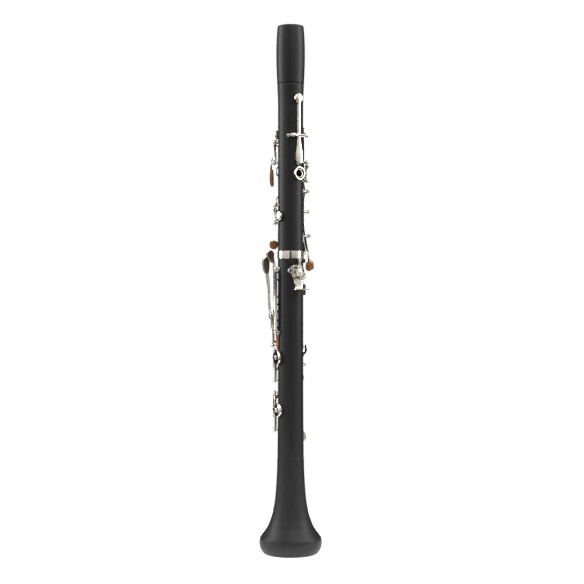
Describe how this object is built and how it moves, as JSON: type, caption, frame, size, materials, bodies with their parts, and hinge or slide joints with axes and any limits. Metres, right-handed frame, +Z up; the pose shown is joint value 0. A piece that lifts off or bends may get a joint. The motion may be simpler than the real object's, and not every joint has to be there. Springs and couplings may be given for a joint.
{
  "type": "clarinet",
  "caption": "Black wooden clarinet without its mouthpiece: barrel, two keyed joints and a flared bell, with sprung silver keys on steel rods and a thumb rest that slides.",
  "frame": {"origin": "centre of the bell rim, in the plane it stands on", "axes": "+Z up along the bore to the barrel, +Y to the thumb side, +X to the player's left"},
  "size_m": [0.0712, 0.0712, 0.595],
  "materials": {
    "wood": "satin black stained wood, oiled",
    "silver": "polished silver plate",
    "steel": "polished steel",
    "cork": "natural cork",
    "facing": "brown cork facing",
    "pad": "cream skin pad",
    "black": "matt black"
  },
  "bodies": {
    "body": {"upper_joint": "wood", "lower_joint": "wood", "bell": "wood", "cork_barrel_tenon": "cork", "cork_middle_tenon": "cork", "cork_bell_tenon": "cork", "socket_ring": "silver", "thumb_bushing": "silver", "lever_bumper": "silver", "thumb_rest_plate": "silver", "guide_block": "black", "posts_register": "steel", "posts_thumb_ring": "steel", "posts_throat_a": "steel", "posts_throat_g_sharp": "steel", "posts_upper_rings": "steel", "posts_e_flat_sliver": "steel", "posts_c_sharp_g_sharp": "steel", "posts_side_upper": "steel", "posts_side_lower": "steel", "posts_lower_rings": "steel", "posts_b_f_sharp_sliver": "steel", "posts_lh_f_sharp_lever": "steel", "posts_lh_e_lever": "steel", "posts_f_sharp_key": "steel", "posts_f_key": "steel", "posts_e_key": "steel", "posts_a_flat_key": "steel", "posts_side_guide": "steel"},
    "barrel": {"barrel": "wood"},
    "thumb_hook": {"thumb_rest_hook": "silver", "thumb_rest_pin": "black"},
    "clamp_screw": {"thumb_rest_screw": "silver"},
    "key_register": {"key_register": "silver"},
    "key_thumb_ring": {"key_thumb_ring": "silver"},
    "key_throat_a": {"key_throat_a": "silver"},
    "key_throat_g_sharp": {"key_throat_g_sharp": "silver", "facing_throat_g_sharp": "facing"},
    "key_upper_rings": {"key_upper_rings": "silver"},
    "key_e_flat_sliver": {"key_e_flat_sliver": "silver"},
    "key_c_sharp_g_sharp": {"key_c_sharp_g_sharp": "silver", "facing_c_sharp_g_sharp": "facing"},
    "key_side_1": {"key_side_1": "silver", "facing_side_1": "facing"},
    "key_side_2": {"key_side_2": "silver", "facing_side_2": "facing"},
    "key_side_3": {"key_side_3": "silver"},
    "key_side_4": {"key_side_4": "silver"},
    "key_lower_rings": {"key_lower_rings": "silver"},
    "key_b_f_sharp_sliver": {"key_b_f_sharp_sliver": "silver"},
    "key_lh_f_sharp_lever": {"key_lh_f_sharp_lever": "silver"},
    "key_lh_e_lever": {"key_lh_e_lever": "silver"},
    "key_f_sharp_key": {"key_f_sharp_key": "silver", "pad_f_sharp_key": "pad"},
    "key_f_key": {"key_f_key": "silver", "pad_f_key": "pad"},
    "key_e_key": {"key_e_key": "silver"},
    "key_a_flat_key": {"key_a_flat_key": "silver"}
  },
  "joints": [
    {"name": "barrel_tuning", "type": "slide", "parent": "body", "child": "barrel", "axis": [0, 0, 1], "range_m": [0, 0.003]},
    {"name": "thumb_hook_height", "type": "slide", "parent": "body", "child": "thumb_hook", "axis": [0, 0, 1], "range_m": [-0.004, 0]},
    {"name": "clamp_screw_turn", "type": "hinge", "parent": "body", "child": "clamp_screw", "pos_m": [0.00122, 0.01996, 0.3126], "axis": [0.061, 0.9981, 0], "range_deg": [0, 180]},
    {"name": "register", "type": "hinge", "parent": "body", "child": "key_register", "pos_m": [0.00151, 0.01723, 0.4704], "axis": [-0.9962, 0.0872, 0], "range_deg": [0, 4], "stiffness_Nm_per_rad": 0.06, "springref_deg": -8.59},
    {"name": "thumb_ring", "type": "hinge", "parent": "body", "child": "key_thumb_ring", "pos_m": [-0.01157, 0.01482, 0.43015], "axis": [0, 0, 1], "range_deg": [-5.5, 0], "stiffness_Nm_per_rad": 0.06, "springref_deg": 8.59},
    {"name": "throat_a", "type": "hinge", "parent": "body", "child": "key_throat_a", "pos_m": [0, -0.0183, 0.462], "axis": [1, 0, 0], "range_deg": [0, 5], "stiffness_Nm_per_rad": 0.06, "springref_deg": -8.59},
    {"name": "throat_g_sharp", "type": "hinge", "parent": "body", "child": "key_throat_g_sharp", "pos_m": [0.01442, -0.01127, 0.45225], "axis": [0, 0, 1], "range_deg": [0, 8], "stiffness_Nm_per_rad": 0.06, "springref_deg": -8.59},
    {"name": "upper_rings", "type": "hinge", "parent": "body", "child": "key_upper_rings", "pos_m": [-0.01127, -0.01442, 0.3975], "axis": [0, 0, 1], "range_deg": [0, 5.5], "stiffness_Nm_per_rad": 0.06, "springref_deg": -8.59},
    {"name": "e_flat_sliver", "type": "hinge", "parent": "body", "child": "key_e_flat_sliver", "pos_m": [0.01672, -0.00744, 0.3822], "axis": [0, 0, 1], "range_deg": [-7, 0], "stiffness_Nm_per_rad": 0.06, "springref_deg": 8.59},
    {"name": "c_sharp_g_sharp", "type": "hinge", "parent": "body", "child": "key_c_sharp_g_sharp", "pos_m": [0.00271, -0.01709, 0.354], "axis": [0, 0, 1], "range_deg": [0, 6], "stiffness_Nm_per_rad": 0.06, "springref_deg": -8.59},
    {"name": "side_1", "type": "hinge", "parent": "body", "child": "key_side_1", "pos_m": [-0.01782, 0.00492, 0.4085], "axis": [-0.1736, -0.9848, 0], "range_deg": [0, 0.9], "stiffness_Nm_per_rad": 0.06, "springref_deg": -8.59},
    {"name": "side_2", "type": "hinge", "parent": "body", "child": "key_side_2", "pos_m": [-0.01842, 0.00147, 0.4085], "axis": [-0.1736, -0.9848, 0], "range_deg": [0, 1.6], "stiffness_Nm_per_rad": 0.06, "springref_deg": -8.59},
    {"name": "side_3", "type": "hinge", "parent": "body", "child": "key_side_3", "pos_m": [-0.01738, -0.00282, 0.3857], "axis": [0.1908, -0.9816, 0], "range_deg": [0, 2.5], "stiffness_Nm_per_rad": 0.06, "springref_deg": -8.59},
    {"name": "side_4", "type": "hinge", "parent": "body", "child": "key_side_4", "pos_m": [-0.01671, -0.00625, 0.3857], "axis": [0.1908, -0.9816, 0], "range_deg": [0, 2.5], "stiffness_Nm_per_rad": 0.06, "springref_deg": -8.59},
    {"name": "lower_rings", "type": "hinge", "parent": "body", "child": "key_lower_rings", "pos_m": [-0.01225, -0.0136, 0.2885], "axis": [0, 0, 1], "range_deg": [0, 5.5], "stiffness_Nm_per_rad": 0.06, "springref_deg": -8.59},
    {"name": "b_f_sharp_sliver", "type": "hinge", "parent": "body", "child": "key_b_f_sharp_sliver", "pos_m": [-0.01535, -0.00997, 0.272], "axis": [0, 0, 1], "range_deg": [0, 7], "stiffness_Nm_per_rad": 0.06, "springref_deg": -8.59},
    {"name": "lh_f_sharp_lever", "type": "hinge", "parent": "body", "child": "key_lh_f_sharp_lever", "pos_m": [0.01768, -0.00474, 0.285], "axis": [0, 0, 1], "range_deg": [-5, 0], "stiffness_Nm_per_rad": 0.06, "springref_deg": 8.59},
    {"name": "lh_e_lever", "type": "hinge", "parent": "body", "child": "key_lh_e_lever", "pos_m": [0.01615, -0.01262, 0.2535], "axis": [0, 0, 1], "range_deg": [-5, 0], "stiffness_Nm_per_rad": 0.06, "springref_deg": 8.59},
    {"name": "f_sharp_key", "type": "hinge", "parent": "body", "child": "key_f_sharp_key", "pos_m": [0.01225, -0.0136, 0.2115], "axis": [0, 0, 1], "range_deg": [-6, 0], "stiffness_Nm_per_rad": 0.06, "springref_deg": 8.59},
    {"name": "f_key", "type": "hinge", "parent": "body", "child": "key_f_key", "pos_m": [0.01225, -0.0136, 0.1595], "axis": [0, 0, 1], "range_deg": [-5, 0], "stiffness_Nm_per_rad": 0.06, "springref_deg": 8.59},
    {"name": "e_key", "type": "hinge", "parent": "body", "child": "key_e_key", "pos_m": [-0.0136, -0.01225, 0.1705], "axis": [0, 0, 1], "range_deg": [-8, 0], "stiffness_Nm_per_rad": 0.06, "springref_deg": 8.59},
    {"name": "a_flat_key", "type": "hinge", "parent": "body", "child": "key_a_flat_key", "pos_m": [-0.01776, -0.00443, 0.212], "axis": [0.2419, -0.9703, 0], "range_deg": [-5, 0], "stiffness_Nm_per_rad": 0.06, "springref_deg": 8.59}
  ],
  "couplings": [
    {"joint": "lh_f_sharp_lever", "follows": "f_sharp_key", "ratio": 0.8},
    {"joint": "lh_e_lever", "follows": "e_key", "ratio": 0.6}
  ]
}
